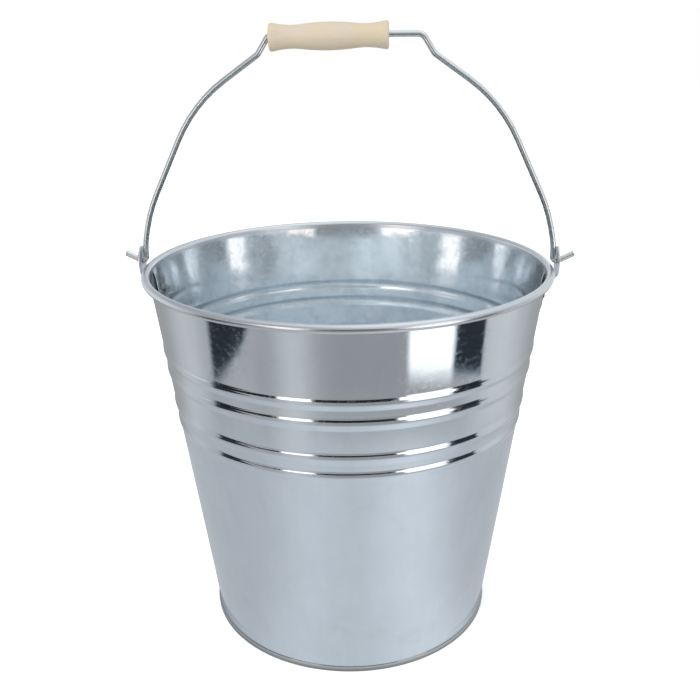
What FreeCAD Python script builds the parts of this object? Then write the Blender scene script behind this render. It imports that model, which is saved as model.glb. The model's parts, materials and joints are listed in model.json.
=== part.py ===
"""Galvanised feed bucket: two lapped wall sheets, clinched bottom, wired rim, riveted ears, wire bail, wooden grip.

Millimetres, +Z up. The origin is the centre of the foot ring, the ears lie on the X axis and -Y is the front.
Profiles are drawn as (radius, height) in the XZ half-plane and revolved round Z.
"""
import FreeCAD, Part
import math
import os

Vector = FreeCAD.Vector

# sheet metal
SHEET = 0.6                  # thickness of the wall and bottom sheets
FIT_GAP = 0.05               # gap between pressed layers of sheet
RIM_RADIUS = 150.0           # outside of the rolled rim
RIM_TOP = 280.0
BEAD_RADIUS = 2.95           # outside radius of the rim's rolled section
CURL_END_TURN = 30.0         # the curl goes three quarter turns and this many degrees more
BAND_RADIUS = 109.44         # outside of the upright band above the foot
BAND_TOP = 9.5
BAND_CORNER = 8.0
WALL_FOOT = 0.95             # underside of the wall's lower edge, inside the clinched foot
FOOT_HEIGHT = 4.2
FOOT_CORNER = 0.35
BOTTOM_HEIGHT = 6.6          # upper face of the recessed bottom
BOTTOM_CORNER = 1.8

# swaged ribs round the wall
RIBS = ((170.0, 1.32), (184.0, 1.24), (210.0, 1.15), (224.5, 1.05))   # height, apex before rounding
RIB_HALF_WIDTH = 4.0
RIB_CREST = 9.0
RIB_ROOT = 6.0

# side seams: the rear sheet's folded edge lies inside the front sheet
SEAM_Y = -3.0
SEAM_GAP = 0.15
HEM_NEAR_Y = -11.0
HEM_FAR_Y = -1.6
HEM_BASE = 8.0
HEM_TOP = 276.5              # the fold runs up into the rolled rim

# ears
EAR_THICKNESS = 1.4
EAR_RADIUS = 153.7           # middle of the upright eye plate
EAR_TOP = 292.0
EAR_JOG_BASE = 264.5
EAR_JOG_TOP = 271.5
EAR_BEND = 3.0
PAD_BASE = 247.5
PAD_TOP = 265.5
PAD_HALF_WIDTH = 15.0
PAD_CORNER = 5.0
NECK_HALF_WIDTH = 6.5
EYE_RADIUS = 9.6

# rivets
RIVET_HEIGHT = 257.5
RIVET_Y = 8.0
SHANK_RADIUS = 2.0
HOLE_GAP = 0.05
HEAD_RADIUS = 3.3
OUTER_HEAD_HEIGHT = 1.7
INNER_HEAD_HEIGHT = 1.2

# bail
PIVOT_HEIGHT = 281.5
PIVOT_HOLE_RADIUS = 3.1
WIRE_RADIUS = 2.1
BAIL_TOP = 439.2
ARM_X = 150.3                # upright end of each arm, just inside the ear
# corners of one side of the bail from the top to the tip, each (x, z, bend radius)
BAIL_CORNERS = (
    (52.6, BAIL_TOP, 6.0),
    (60.7, 426.5, 7.0),
    (107.9, 393.7, 108.0),
    (144.6, 318.8, 110.0),
    (ARM_X, 294.0, 60.0),
    (ARM_X, 279.4, 3.2),
)
BAIL_TIP = (165.4, 286.8)

# grip
# the loose grip hangs on the wire, pushed against the left shoulder and a little tilted
GRIP_CENTRE = (-11.5, 438.1)
GRIP_TILT = 0.7              # degrees, right end up
GRIP_LENGTH = 82.0
GRIP_END_RADIUS = 9.4
# outline from the belly to the flared end, each (distance from the grip's middle, radius)
GRIP_OUTLINE = ((0.0, 9.3), (11.5, 8.85), (24.0, 7.75), (32.5, 8.2), (37.0, 9.0), (41.0, GRIP_END_RADIUS))
GRIP_ROUNDING = 1.0
BORE_RADIUS = 3.8


def line_crossing(a, b, c, d):
    """Where the line through a and b crosses the line through c and d."""
    ab = (b[0] - a[0], b[1] - a[1])
    cd = (d[0] - c[0], d[1] - c[1])
    cross = ab[0] * cd[1] - ab[1] * cd[0]
    if abs(cross) < 1e-9:
        return b
    t = ((c[0] - a[0]) * cd[1] - (c[1] - a[1]) * cd[0]) / cross
    return (a[0] + t * ab[0], a[1] + t * ab[1])


def shifted(points, distance):
    """A polyline moved to its left by distance, with mitred corners."""
    sides = []
    for a, b in zip(points, points[1:]):
        length = math.hypot(b[0] - a[0], b[1] - a[1])
        left = (-(b[1] - a[1]) / length * distance, (b[0] - a[0]) / length * distance)
        sides.append(((a[0] + left[0], a[1] + left[1]), (b[0] + left[0], b[1] + left[1])))
    inner = [line_crossing(*before, *after) for before, after in zip(sides, sides[1:])]
    return [sides[0][0]] + inner + [sides[-1][1]]


def turn(a, b, c):
    """Signed turn at b, positive to the left."""
    before = math.atan2(b[1] - a[1], b[0] - a[0])
    after = math.atan2(c[1] - b[1], c[0] - b[0])
    return (after - before + math.pi) % (2 * math.pi) - math.pi


def rounded(corners, distance=0.0):
    """Edges of a path with tangent arcs at its corners, moved left by distance; each corner is (x, z, radius)."""
    points = [(corner[0], corner[1]) for corner in corners]
    moved = shifted(points, distance)
    edges = []
    here = moved[0]
    for i in range(1, len(points) - 1):
        angle = turn(points[i - 1], points[i], points[i + 1])
        radius = corners[i][2] - distance * math.copysign(1, angle)
        if abs(angle) < 1e-6:
            continue
        corner = moved[i]
        reach = radius * math.tan(abs(angle) / 2)
        back = unit(corner, moved[i - 1])
        ahead = unit(corner, moved[i + 1])
        start = (corner[0] + back[0] * reach, corner[1] + back[1] * reach)
        end = (corner[0] + ahead[0] * reach, corner[1] + ahead[1] * reach)
        middle_way = unit((0, 0), (back[0] + ahead[0], back[1] + ahead[1]))
        depth = radius / math.cos(angle / 2) - radius
        middle = (corner[0] + middle_way[0] * depth, corner[1] + middle_way[1] * depth)
        if math.dist(here, start) > 1e-4:
            edges.append(Part.LineSegment(in_plane(here), in_plane(start)).toShape())
        else:
            start = here
        edges.append(Part.Arc(in_plane(start), in_plane(middle), in_plane(end)).toShape())
        here = end
    if math.dist(here, moved[-1]) > 1e-4:
        edges.append(Part.LineSegment(in_plane(here), in_plane(moved[-1])).toShape())
    return edges


def unit(a, b):
    """Unit vector from a to b."""
    length = math.dist(a, b)
    return ((b[0] - a[0]) / length, (b[1] - a[1]) / length)


def in_plane(point):
    return Vector(point[0], 0, point[1])


def path_ends(edges):
    return edges[0].valueAt(edges[0].FirstParameter), edges[-1].valueAt(edges[-1].LastParameter)


def sheet_section(corners, right, left):
    """Face between a path moved to its right and to its left by the two distances."""
    right_side = rounded(corners, -right)
    left_side = rounded(corners, left)
    right_start, right_end = path_ends(right_side)
    left_start, left_end = path_ends(left_side)
    caps = [Part.LineSegment(right_end, left_end).toShape(), Part.LineSegment(left_start, right_start).toShape()]
    return Part.Face(Part.Wire(Part.__sortEdges__(right_side + left_side + caps)))


def revolved(face):
    return face.revolve(Vector(0, 0, 0), Vector(0, 0, 1), 360)


def block(low, high):
    """Box between two opposite corners."""
    return Part.makeBox(high[0] - low[0], high[1] - low[1], high[2] - low[2], Vector(*low))


# the wall's middle line is tangent to the middle line of the rolled rim
BEAD_CENTRE = (RIM_RADIUS - BEAD_RADIUS, RIM_TOP - BEAD_RADIUS)
CURL_RADIUS = BEAD_RADIUS - SHEET / 2
BAND_CORNER_POINT = (BAND_RADIUS - SHEET / 2, BAND_TOP)
TAPER = math.atan2(BEAD_CENTRE[0] - BAND_CORNER_POINT[0], BEAD_CENTRE[1] - BAND_CORNER_POINT[1]) - math.asin(
    CURL_RADIUS / math.dist(BEAD_CENTRE, BAND_CORNER_POINT)
)
UPHILL = (math.sin(TAPER), math.cos(TAPER))
OUTWARD = (math.cos(TAPER), -math.sin(TAPER))


def wall_point(height, proud=0.0):
    """Point of the wall's middle line at a height, moved outward by proud."""
    radius = BAND_CORNER_POINT[0] + (height - BAND_TOP) * math.tan(TAPER)
    return (radius + proud * OUTWARD[0], height + proud * OUTWARD[1])


def rib_corners():
    corners = []
    for height, peak in RIBS:
        corners.append((*wall_point(height - RIB_HALF_WIDTH), RIB_ROOT))
        corners.append((*wall_point(height, peak), RIB_CREST))
        corners.append((*wall_point(height + RIB_HALF_WIDTH), RIB_ROOT))
    return corners


def curl_corners():
    """Corners that box in the rolled rim: three quarter turns and a last short one."""
    c, r = BEAD_CENTRE, CURL_RADIUS

    def around(out, up):
        return (c[0] + r * (out * OUTWARD[0] + up * UPHILL[0]), c[1] + r * (out * OUTWARD[1] + up * UPHILL[1]))

    last = math.radians(CURL_END_TURN)
    short = math.tan(last / 2)
    corners = [(*around(*place), r) for place in ((-1, 1), (1, 1), (1, -1), (-short, -1))]
    end = around(-short - short * math.cos(last), -1 + short * math.sin(last))
    return corners + [(*end, 0)]


def wall_corners():
    foot = (BAND_CORNER_POINT[0], WALL_FOOT, 0)
    return [foot, (*BAND_CORNER_POINT, BAND_CORNER)] + rib_corners() + curl_corners()


def hem_ring():
    """The folded edge's full ring: two more layers of sheet inside the wall, cut to a strip later."""
    corners = [(*wall_point(HEM_BASE + BAND_TOP), 0)] + rib_corners() + [(*wall_point(HEM_TOP), 0)]
    return revolved(sheet_section(corners, -SHEET / 2, SHEET / 2 + 2 * SHEET))


def make_wall_front(rivet_holes):
    far = RIM_RADIUS + 1
    front = block((-far, -far, -1), (far, SEAM_Y, RIM_TOP + 1))
    sheet = revolved(sheet_section(wall_corners(), SHEET / 2, SHEET / 2))
    return sheet.common(front).cut(rivet_holes)


def make_wall_rear(rivet_holes):
    far = RIM_RADIUS + 1
    rear = block((-far, SEAM_Y + SEAM_GAP, -1), (far, far, RIM_TOP + 1))
    strips = block((-far, HEM_NEAR_Y, -1), (far, HEM_FAR_Y, RIM_TOP + 1))
    sheet = revolved(sheet_section(wall_corners(), SHEET / 2, SHEET / 2)).common(rear)
    hems = hem_ring().common(strips)
    return sheet.fuse(hems).removeSplitter().cut(rivet_holes)


def make_bottom_pan():
    """Recessed bottom whose edge is folded down, under and up round the wall's lower edge."""
    pitch = SHEET + FIT_GAP
    wall = BAND_CORNER_POINT[0]
    corners = (
        (0, BOTTOM_HEIGHT - SHEET / 2, 0),
        (wall - pitch, BOTTOM_HEIGHT - SHEET / 2, BOTTOM_CORNER),
        (wall - pitch, SHEET / 2, FOOT_CORNER),
        (wall + pitch, SHEET / 2, FOOT_CORNER),
        (wall + pitch, FOOT_HEIGHT, 0),
    )
    return revolved(sheet_section(corners, SHEET / 2, SHEET / 2))


def make_rim_wire():
    radius = BEAD_RADIUS - SHEET - FIT_GAP
    return Part.makeTorus(BEAD_CENTRE[0], radius, Vector(0, 0, BEAD_CENTRE[1]), Vector(0, 0, 1))


def ear_outline():
    """Front view of an ear: round eye, tapering neck and a wide pad with rounded lower corners."""
    neck_z = EAR_JOG_TOP
    eye_z = EAR_TOP - EYE_RADIUS
    spread = math.asin((EYE_RADIUS - NECK_HALF_WIDTH) / (eye_z - neck_z))
    side = (EYE_RADIUS * math.cos(spread), eye_z - EYE_RADIUS * math.sin(spread))
    w, r = PAD_HALF_WIDTH, PAD_CORNER
    s = r * (1 - math.sqrt(0.5))
    half = 0.5 * (NECK_HALF_WIDTH + w)

    def at(y, z):
        return Vector(0, y, z)

    edges = [
        Part.Arc(at(-side[0], side[1]), at(0, EAR_TOP), at(side[0], side[1])),
        Part.LineSegment(at(side[0], side[1]), at(NECK_HALF_WIDTH, neck_z)),
        Part.LineSegment(at(NECK_HALF_WIDTH, neck_z), at(half, PAD_TOP)),
        Part.Arc(at(half, PAD_TOP), at(w - s, PAD_TOP - s), at(w, PAD_TOP - r)),
        Part.LineSegment(at(w, PAD_TOP - r), at(w, PAD_BASE + r)),
        Part.Arc(at(w, PAD_BASE + r), at(w - s, PAD_BASE + s), at(w - r, PAD_BASE)),
        Part.LineSegment(at(w - r, PAD_BASE), at(r - w, PAD_BASE)),
        Part.Arc(at(r - w, PAD_BASE), at(s - w, PAD_BASE + s), at(-w, PAD_BASE + r)),
        Part.LineSegment(at(-w, PAD_BASE + r), at(-w, PAD_TOP - r)),
        Part.Arc(at(-w, PAD_TOP - r), at(s - w, PAD_TOP - s), at(-half, PAD_TOP)),
        Part.LineSegment(at(-half, PAD_TOP), at(-NECK_HALF_WIDTH, neck_z)),
        Part.LineSegment(at(-NECK_HALF_WIDTH, neck_z), at(-side[0], side[1])),
    ]
    return Part.Face(Part.Wire([edge.toShape() for edge in edges]))


def make_ear(side, rivet_holes):
    """Stamped ear: a pad on the wall, a jog out past the rim, and an upright eye for the bail."""
    pad = wall_point(PAD_BASE - 2, SHEET / 2 + EAR_THICKNESS / 2)
    jog = wall_point(EAR_JOG_BASE, SHEET / 2 + EAR_THICKNESS / 2)
    corners = ((*pad, 0), (*jog, EAR_BEND), (EAR_RADIUS, EAR_JOG_TOP, EAR_BEND), (EAR_RADIUS, EAR_TOP + 2, 0))
    bent = revolved(sheet_section(corners, EAR_THICKNESS / 2, EAR_THICKNESS / 2))
    reach = EAR_RADIUS + 10
    stamp = ear_outline().extrude(Vector(side * reach, 0, 0))
    eye = Part.makeCylinder(PIVOT_HOLE_RADIUS, reach, Vector(0, 0, PIVOT_HEIGHT), Vector(side, 0, 0))
    return bent.common(stamp).cut(eye).cut(rivet_holes)


def rivet_axis(side, y):
    """Point on the wall's middle line and the wall's outward normal where a rivet goes through."""
    radius, height = wall_point(RIVET_HEIGHT)
    azimuth = math.asin(y / radius)
    east, north = side * math.cos(azimuth), math.sin(azimuth)
    point = Vector(radius * east, radius * north, height)
    return point, Vector(OUTWARD[0] * east, OUTWARD[0] * north, OUTWARD[1])


def dome(base, direction, radius, height):
    """Low domed head: a slice of a sphere standing on base."""
    ball = (radius**2 + height**2) / (2 * height)
    sphere = Part.makeSphere(ball, base + direction * (height - ball))
    keep = Part.makeCylinder(radius + 0.01, height + 1, base, direction)
    return sphere.common(keep)


def make_rivet(side, y):
    point, out = rivet_axis(side, y)
    inner_layers = 2 * SHEET if y < 0 else 0.0
    inside = point - out * (SHEET / 2 + inner_layers + HOLE_GAP)
    outside = point + out * (SHEET / 2 + EAR_THICKNESS)
    shank = Part.makeCylinder(SHANK_RADIUS, (outside - inside).Length, inside, out)
    heads = [dome(outside, out, HEAD_RADIUS, OUTER_HEAD_HEIGHT), dome(inside, -out, HEAD_RADIUS, INNER_HEAD_HEIGHT)]
    return shank.fuse(heads).removeSplitter()


def rivet_hole(side, y):
    point, out = rivet_axis(side, y)
    return Part.makeCylinder(SHANK_RADIUS + HOLE_GAP, 12, point - out * 6, out)


def make_bail_wire():
    """One wire bent to the bail's outline, its ends turned out through the ears."""
    right = [*BAIL_CORNERS, (*BAIL_TIP, 0)]
    left = [(-x, z, r) for x, z, r in reversed(right)]
    edges = rounded(left + right)
    path = Part.Wire(edges)
    start = edges[0].valueAt(edges[0].FirstParameter)
    heading = edges[0].tangentAt(edges[0].FirstParameter)
    section = Part.Wire(Part.makeCircle(WIRE_RADIUS, start, heading))
    wire = path.makePipeShell([section], True, False)
    print("bail wire: volume over section times length", wire.Volume / (math.pi * WIRE_RADIUS**2 * path.Length))
    return wire


def make_wooden_grip():
    """Turned grip: flared ends, two waists and a full belly, bored loosely for the wire."""
    half = GRIP_LENGTH / 2
    right = [Vector(x, 0, radius) for x, radius in GRIP_OUTLINE]
    left = [Vector(-point.x, 0, point.z) for point in reversed(right[1:])]
    outline = Part.BSplineCurve()
    outline.interpolate(left + right)
    corners = [right[-1], Vector(half, 0, BORE_RADIUS), Vector(-half, 0, BORE_RADIUS), left[0]]
    edges = [outline.toShape()]
    edges += [Part.LineSegment(a, b).toShape() for a, b in zip(corners, corners[1:])]
    solid = Part.Face(Part.Wire(edges)).revolve(Vector(0, 0, 0), Vector(1, 0, 0), 360)
    grip = solid.makeFillet(GRIP_ROUNDING, [edge for edge in solid.Edges if is_end_rim(edge)])
    grip.rotate(Vector(0, 0, 0), Vector(0, 1, 0), -GRIP_TILT)
    grip.translate(Vector(GRIP_CENTRE[0], 0, GRIP_CENTRE[1]))
    return grip


def is_end_rim(edge):
    """True for the circles where the grip's outside meets its end faces."""
    circle = edge.Curve
    return isinstance(circle, Part.Circle) and abs(circle.Radius - GRIP_END_RADIUS) < 0.01


def main():
    os.makedirs("parts", exist_ok=True)
    places = {
        f"{name}_{end}": (side, y)
        for name, side in (("left", -1), ("right", 1))
        for end, y in (("front", -RIVET_Y), ("rear", RIVET_Y))
    }
    holes = [rivet_hole(side, y) for side, y in places.values()]
    nodes = {
        "wall_front": make_wall_front(holes),
        "wall_rear": make_wall_rear(holes),
        "bottom_pan": make_bottom_pan(),
        "rim_wire": make_rim_wire(),
        "ear_left": make_ear(-1, holes),
        "ear_right": make_ear(1, holes),
        "bail_wire": make_bail_wire(),
        "wooden_grip": make_wooden_grip(),
    }
    for name, (side, y) in places.items():
        nodes[f"rivet_{name}"] = make_rivet(side, y)
    for name, shape in nodes.items():
        solids = len(shape.Solids)
        print(f"{name}: solids {solids}, valid {shape.isValid()}, volume {shape.Volume:.1f}")
        shape.exportStep(f"parts/{name}.step")


main()
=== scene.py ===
"""Looks of the galvanised feed bucket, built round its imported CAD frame.

Shapes are worked out in millimetres and turned into metres when a mesh is made.
Profiles are (radius, height) paths.
"""

import json
import math

import bmesh
import bpy
from mathutils import Matrix, Vector, noise


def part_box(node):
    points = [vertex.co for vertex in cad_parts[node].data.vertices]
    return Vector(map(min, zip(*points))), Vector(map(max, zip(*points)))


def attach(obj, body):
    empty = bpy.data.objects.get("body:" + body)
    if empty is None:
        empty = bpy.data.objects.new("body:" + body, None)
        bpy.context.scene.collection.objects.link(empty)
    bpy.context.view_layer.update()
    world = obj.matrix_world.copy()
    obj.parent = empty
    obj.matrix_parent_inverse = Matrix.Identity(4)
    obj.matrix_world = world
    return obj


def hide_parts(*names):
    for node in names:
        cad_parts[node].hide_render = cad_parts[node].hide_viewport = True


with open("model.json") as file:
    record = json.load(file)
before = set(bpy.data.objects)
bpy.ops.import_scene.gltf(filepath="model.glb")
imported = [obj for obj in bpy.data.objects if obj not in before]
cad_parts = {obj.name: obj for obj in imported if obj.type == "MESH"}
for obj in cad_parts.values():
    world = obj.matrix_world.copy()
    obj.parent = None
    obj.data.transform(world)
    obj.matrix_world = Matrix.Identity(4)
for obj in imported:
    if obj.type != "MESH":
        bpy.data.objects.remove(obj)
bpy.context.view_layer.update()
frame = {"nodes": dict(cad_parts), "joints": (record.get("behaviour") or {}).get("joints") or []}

MM = 0.001


def box_mm(node):
    """Lowest and highest corner of a CAD node, in millimetres."""
    low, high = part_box(node)
    return low / MM, high / MM


# sizes read from the frame
_, PAN_HIGH = box_mm("bottom_pan")
WIRE_LOW, WIRE_HIGH = box_mm("rim_wire")
_, EAR_HIGH = box_mm("ear_right")
_, BAIL_HIGH = box_mm("bail_wire")
JOINTS = {joint["name"]: joint for joint in frame["joints"]}
PIVOT_HEIGHT = JOINTS["bail_swing"]["pos_m"][2] / MM
GRIP_CENTRE = Vector(JOINTS["grip_spin"]["pos_m"]) / MM
GRIP_AXIS = Vector(JOINTS["grip_spin"]["axis"])

# sheet metal
SHEET = 0.6
FIT_GAP = 0.05
RIM_WIRE_RADIUS = (WIRE_HIGH.z - WIRE_LOW.z) / 2
BEAD_CENTRE = (WIRE_HIGH.x - RIM_WIRE_RADIUS, (WIRE_HIGH.z + WIRE_LOW.z) / 2)
CURL_RADIUS = RIM_WIRE_RADIUS + FIT_GAP + SHEET / 2
CURL_END_TURN = 30.0
FOOT_HEIGHT = 4.2
FOOT_CORNER = 0.35
FOOT_SWELL = (0.25, 3.1, 3.0)        # how far the foot's fold stands out, at what height, and its rounding
BOTTOM_CORNER = 1.8
BAND_CORNER_POINT = (PAN_HIGH.x - SHEET - FIT_GAP - SHEET / 2, 9.5)
BAND_CORNER = 8.0
WALL_FOOT = SHEET + FIT_GAP + 0.3    # height of the wall's lower edge, inside the clinched foot

# slight unevenness of the drawn sheet
DENT_DEPTH = 0.22
DENT_RIM = 268.0             # no dents above this height
DENT_FOOT = 12.0             # or below this one
DENT_EASE = 12.0             # height over which they die out
DENT_PITCH = 95.0            # their size up the wall
DENT_CIRCLE = 2.2            # radius, in dents, of the circle that they run round
EAR_CALM = (22.0, 25.0)      # flat width beside an ear, and the width over which the dents return

# swaged ribs
RIBS = ((170.0, 1.32), (184.0, 1.24), (210.0, 1.15), (224.5, 1.05))   # height, apex before rounding
RIB_HALF_WIDTH = 4.0
RIB_CREST = 9.0
RIB_ROOT = 6.0
INNER_RELIEF = 0.55          # share of a rib's relief that shows on the inside

# side seams
SEAM_Y = -3.0
SEAM_GAP = 0.15
HEM_NEAR_Y = -11.0
HEM_FAR_Y = -1.6
HEM_BASE = 10.5
HEM_TOP = 276.5              # the fold runs up into the rolled rim
HEM_FADE = 2.5               # it thins out over this height, under the rim
HEM_LEAST = 0.12             # share of its thickness that is left at the top
FOLD_STEPS = 6

# ears
EAR_THICKNESS = 1.4
EAR_RADIUS = EAR_HIGH.x - EAR_THICKNESS / 2
EAR_TOP = EAR_HIGH.z
EAR_JOG_BASE = 264.5
EAR_JOG_TOP = 271.5
EAR_BEND = 3.0
PAD_BASE = 247.5
PAD_TOP = 265.5
PAD_HALF_WIDTH = EAR_HIGH.y
PAD_CORNER = 5.0
NECK_HALF_WIDTH = 6.5
EYE_RADIUS = 9.6
PIVOT_HOLE_RADIUS = 3.1
EYE_BASE = EAR_JOG_TOP + 0.6         # where the rings round the hole give way to rows
NECK_SPREAD = 0.15
EAR_EDGE_ROUNDING = 0.28

# rivets
RIVET_HEIGHT = 257.5
RIVET_Y = 8.0
SHANK_RADIUS = 2.0
HOLE_GAP = 0.05
HEAD_RADIUS = 3.3
OUTER_HEAD_HEIGHT = 1.7
INNER_HEAD_HEIGHT = 1.2
HEAD_EDGE = 0.12

# bail
BAIL_WIRE_RADIUS = BAIL_HIGH.y
BAIL_TOP = BAIL_HIGH.z - BAIL_WIRE_RADIUS
ARM_X = 150.3
BAIL_CORNERS = (
    (52.6, BAIL_TOP, 6.0),
    (60.7, 426.5, 7.0),
    (107.9, 393.7, 108.0),
    (144.6, 318.8, 110.0),
    (ARM_X, 294.0, 60.0),
    (ARM_X, 279.4, 3.2),
)
BAIL_TIP = (165.4, 286.8)
TIP_ROUNDING = 0.9

# grip: (distance from the middle, radius) from the belly to the flared end
GRIP_OUTLINE = ((0.0, 9.3), (11.5, 8.85), (24.0, 7.75), (32.5, 8.2), (37.0, 9.0), (41.0, 9.4))
GRIP_ROUNDING = 1.6
GRIP_END_INSET = 0.05
BORE_ROUNDING = 0.6
BORE_RADIUS = 3.8

# mesh fineness
ARC_STEP = 6.0               # degrees between samples of an arc
RUN_STEP = 7.0               # millimetres between samples of a straight run
RUN_SUPPORT = 0.4            # samples this close to an arc keep the run beside it straight in the shading
HALF_TURN_STEPS = 160
TUBE_SIDES = 24
GRIP_SIDES = 72
RIVET_SIDES = 28
SHARP_ANGLE = 35.0           # edges over this many degrees stay crisp
BEVEL_ANGLE = 40.0           # stamped edges over this many degrees are rounded


# ---------------------------------------------------------------- paths

def turn(a, b, c):
    """Signed turn at b, positive to the left."""
    before = math.atan2(b[1] - a[1], b[0] - a[0])
    after = math.atan2(c[1] - b[1], c[0] - b[0])
    return (after - before + math.pi) % (2 * math.pi) - math.pi


def rounded_path(corners, arc_step=ARC_STEP, run_step=RUN_STEP):
    """Samples a path of (x, z, radius) corners with tangent arcs, as (point, left normal) pairs."""
    points = [Vector(corner[:2]) for corner in corners]
    samples = []

    def run(start, end, last):
        length = (end - start).length
        if length < 1e-3:
            return
        normal = Vector((start.y - end.y, end.x - start.x)) / length
        steps = max(1, math.ceil(length / run_step))
        stops = [i / steps for i in range(steps)]
        if length > 3 * RUN_SUPPORT:
            stops += [RUN_SUPPORT / length, 1 - RUN_SUPPORT / length]
        samples.extend((start.lerp(end, t), normal) for t in sorted(stops) + ([1.0] if last else []))

    here = points[0]
    for i in range(1, len(points) - 1):
        angle = turn(points[i - 1], points[i], points[i + 1])
        back = (points[i - 1] - points[i]).normalized()
        ahead = (points[i + 1] - points[i]).normalized()
        reach = corners[i][2] * math.tan(abs(angle) / 2)
        start = points[i] + back * reach
        run(here, start, False)
        side = math.copysign(1, angle)
        first = Vector((back.y, -back.x))
        centre = start + first * side * corners[i][2]
        steps = max(2, math.ceil(math.degrees(abs(angle)) / arc_step))
        for k in range(steps):
            swing = Matrix.Rotation(angle * k / steps, 2)
            normal = swing @ first
            samples.append((centre - normal * side * corners[i][2], normal))
        here = points[i] + ahead * reach
    run(here, points[-1], True)
    if (here - points[-1]).length < 1e-3:
        samples.append((points[-1], Matrix.Rotation(angle, 2) @ first))
    return samples


BEAD_OUT, BEAD_UP = BEAD_CENTRE[0] - BAND_CORNER_POINT[0], BEAD_CENTRE[1] - BAND_CORNER_POINT[1]
TAPER = math.atan2(BEAD_OUT, BEAD_UP) - math.asin(CURL_RADIUS / math.hypot(BEAD_OUT, BEAD_UP))
UPHILL = Vector((math.sin(TAPER), math.cos(TAPER)))
OUTWARD = Vector((math.cos(TAPER), -math.sin(TAPER)))


def wall_point(height, proud=0.0):
    """Point of the wall's middle line at a height, moved outward by proud."""
    radius = BAND_CORNER_POINT[0] + (height - BAND_CORNER_POINT[1]) * math.tan(TAPER)
    return Vector((radius, height)) + proud * OUTWARD


def rib_corners():
    corners = []
    for height, peak in RIBS:
        corners.append((*wall_point(height - RIB_HALF_WIDTH), RIB_ROOT))
        corners.append((*wall_point(height, peak), RIB_CREST))
        corners.append((*wall_point(height + RIB_HALF_WIDTH), RIB_ROOT))
    return corners


def curl_corners():
    """Corners that box in the rolled rim: three quarter turns and a last short one."""
    def around(out, up):
        return Vector(BEAD_CENTRE) + CURL_RADIUS * (out * OUTWARD + up * UPHILL)

    last = math.radians(CURL_END_TURN)
    short = math.tan(last / 2)
    corners = [(*around(*corner), CURL_RADIUS) for corner in ((-1, 1), (1, 1), (1, -1), (-short, -1))]
    end = around(-short - short * math.cos(last), -1 + short * math.sin(last))
    return corners + [(*end, 0)]


def wall_path():
    foot = (BAND_CORNER_POINT[0], WALL_FOOT, 0)
    return rounded_path([foot, (*BAND_CORNER_POINT, BAND_CORNER)] + rib_corners() + curl_corners())


# ---------------------------------------------------------------- meshes

def smooth(mesh, sharp=SHARP_ANGLE):
    """Smooth shading that keeps edges over an angle crisp."""
    mesh.shade_smooth()
    mesh.set_sharp_from_angle(angle=math.radians(sharp))


def mesh_object(name, verts, faces):
    """Object from millimetre vertices, smooth shaded."""
    mesh = bpy.data.meshes.new(name)
    mesh.from_pydata([Vector(v) * MM for v in verts], [], faces)
    bm = bmesh.new()
    bm.from_mesh(mesh)
    bmesh.ops.recalc_face_normals(bm, faces=bm.faces)
    bm.to_mesh(mesh)
    bm.free()
    smooth(mesh)
    obj = bpy.data.objects.new(name, mesh)
    bpy.context.scene.collection.objects.link(obj)
    return obj


def grid_faces(rows, columns, closed_rows=False, closed_columns=False, first=0):
    """Quads of a rows by columns block of vertices numbered row by row."""
    faces = []
    for i in range(rows if closed_rows else rows - 1):
        for j in range(columns if closed_columns else columns - 1):
            a = first + i * columns
            b = first + (i + 1) % rows * columns
            k = (j + 1) % columns
            faces.append((a + j, a + k, b + k, b + j))
    return faces


def sheet_loop(path, shape=None):
    """Closed outline of a sheet: out along its path's right side and back along the left.

    Each spot comes with the middle of the sheet beside it.
    """
    half = SHEET / 2
    right = [(point - normal * half, point) for point, normal in path]
    left = [(point + normal * half, point) for point, normal in reversed(path)]
    return right + [(shape(spot) if shape else spot, point) for spot, point in left]


def eased_inside(spot):
    """Softens the ribs on the inner face of the wall, where the swaged sheet is rounder."""
    reach = 2 * RIB_HALF_WIDTH
    if not RIBS[0][0] - reach < spot.y < RIBS[-1][0] + reach:
        return spot
    plain = wall_point(spot.y).x - SHEET / 2 / math.cos(TAPER)
    return Vector((plain + (spot.x - plain) * INNER_RELIEF, spot.y))


def dent(azimuth, height):
    """Unevenness of the sheet at a place, dying out at the rim, the foot and the ears."""
    ease_height = min(1.0, (DENT_RIM - height) / DENT_EASE, (height - DENT_FOOT) / DENT_EASE)
    from_ear = abs(math.remainder(azimuth, math.pi)) * EAR_RADIUS
    calm, easing = EAR_CALM
    ease_ear = 1.0 if height < PAD_BASE - 20 else min(1.0, max(0.0, (from_ear - calm) / easing))
    where = Vector((math.cos(azimuth) * DENT_CIRCLE, math.sin(azimuth) * DENT_CIRCLE, height / DENT_PITCH))
    return DENT_DEPTH * noise.noise(where) * max(0.0, ease_height) * ease_ear


def wall_sheet(name, edge_y, rear):
    """Half of the wall between the two side seams: a closed loop of sheet swept round the axis."""
    loop = sheet_loop(wall_path(), shape=eased_inside)
    columns = HALF_TURN_STEPS + 1
    verts = []
    for point, middle in loop:
        lap = math.asin(abs(edge_y) / middle.x)
        start, end = (-lap, math.pi + lap) if rear else (lap - math.pi, -lap)
        for j in range(columns):
            azimuth = start + (end - start) * j / HALF_TURN_STEPS
            radius = point.x + dent(azimuth, point.y)
            verts.append((radius * math.cos(azimuth), radius * math.sin(azimuth), point.y))
    rows = len(loop)
    faces = grid_faces(rows, columns, closed_rows=True)
    half = rows // 2
    for j in (0, columns - 1):
        for i in range(half - 1):
            faces.append(tuple(row * columns + j for row in (i, i + 1, rows - 2 - i, rows - 1 - i)))
    return mesh_object(name, verts, faces)


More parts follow.
